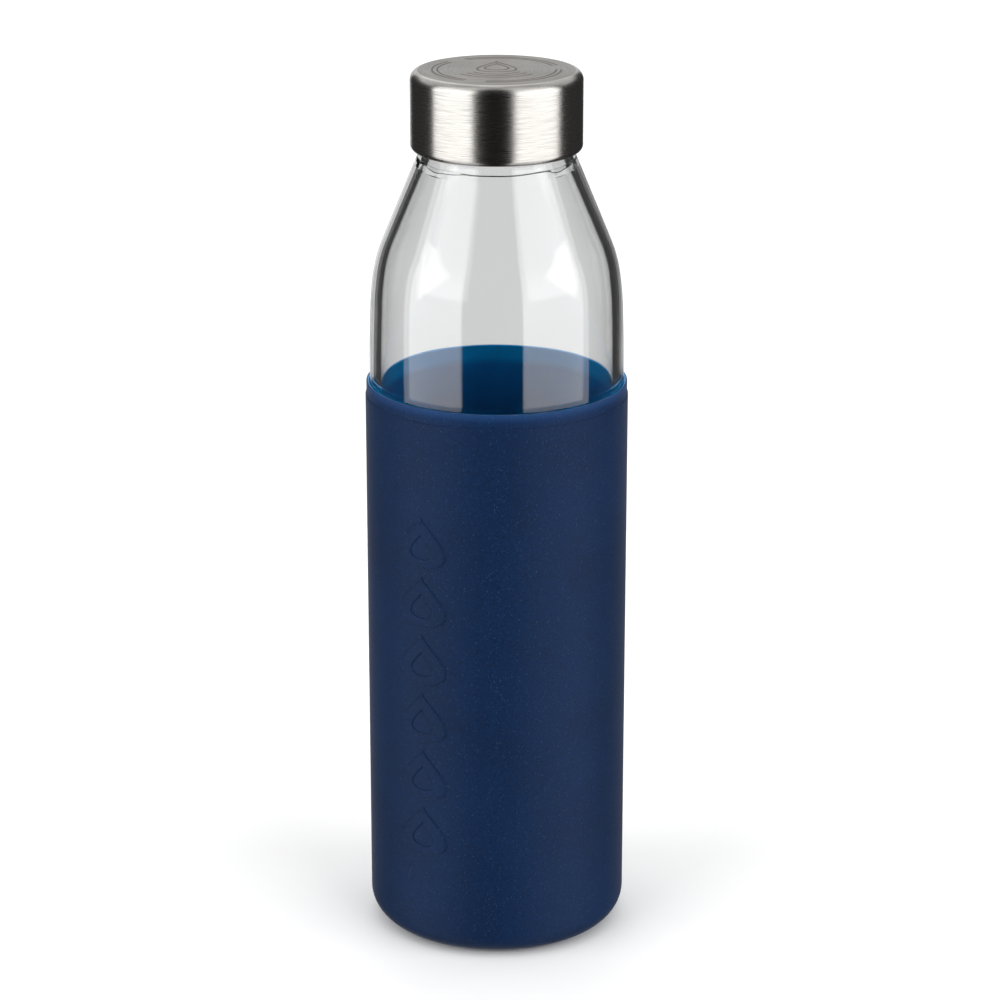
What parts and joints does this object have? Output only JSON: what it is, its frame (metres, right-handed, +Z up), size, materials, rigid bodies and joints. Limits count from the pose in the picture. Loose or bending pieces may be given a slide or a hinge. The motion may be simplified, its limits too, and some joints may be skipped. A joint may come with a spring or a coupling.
{
  "type": "glass water bottle",
  "caption": "Clear glass water bottle with a sloping shoulder, a blue silicone sleeve and a brushed steel screw lid; holds and pours drinks.",
  "frame": {"origin": "centre of the sleeve's foot, on the surface that the bottle stands on", "axes": "+Z up along the bottle's axis; the motifs on the sleeve face -Y"},
  "size_m": [0.067, 0.067, 0.2267],
  "materials": {
    "clear_glass": "clear polished borosilicate",
    "blue_silicone": "matte, soft-touch",
    "brushed_lid_steel": "brushed around the side and across the top",
    "lid_plastic": "satin moulded",
    "liner_steel": "satin pressed",
    "seal_silicone": "translucent matte"
  },
  "bodies": {
    "sleeve": {"silicone_sleeve": "blue_silicone"},
    "bottle": {"glass_bottle": "clear_glass"},
    "lid_seal": {"seal_ring": "seal_silicone"},
    "lid": {"lid_shell": "brushed_lid_steel", "lid_thread_insert": "lid_plastic", "lid_liner_disc": "liner_steel"}
  },
  "joints": [
    {"name": "bottle_pull_out", "type": "slide", "parent": "sleeve", "child": "bottle", "axis": [0, 0, 1], "range_m": [0, 0.155]},
    {"name": "lid_rise", "type": "slide", "parent": "bottle", "child": "lid_seal", "axis": [0, 0, 1], "range_m": [0, 0.0211]},
    {"name": "lid_unscrew", "type": "hinge", "parent": "lid_seal", "child": "lid", "pos_m": [0, 0, 0.207], "axis": [0, 0, 1], "range_deg": [0, 1800]}
  ],
  "couplings": [
    {"joint": "lid_unscrew", "follows": "lid_rise", "rad_per_m": 1485.4}
  ]
}
